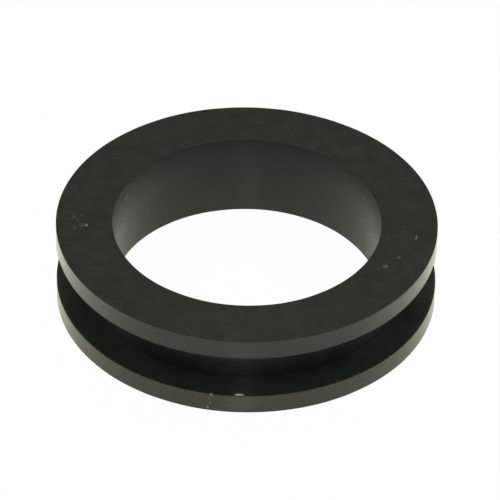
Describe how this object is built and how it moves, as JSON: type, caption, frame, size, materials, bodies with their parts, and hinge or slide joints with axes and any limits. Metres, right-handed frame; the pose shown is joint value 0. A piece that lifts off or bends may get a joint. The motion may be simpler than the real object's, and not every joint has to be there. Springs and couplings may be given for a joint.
{
  "type": "rubber grommet",
  "caption": "Round moulded rubber panel grommet: a straight open bore, with a square outer groove between flat flanges that seats on a panel's edge.",
  "frame": {"origin": "on the bore's axis, in the plane of the bottom face that the grommet rests on", "axes": "+Z along the bore, out of the top face; the ring is round about Z, so X and Y are free"},
  "size_m": [0.054, 0.054, 0.0126],
  "materials": {
    "rubber": "moulded, plain matte black"
  },
  "bodies": {
    "root": {"grommet": "rubber"}
  },
  "joints": []
}
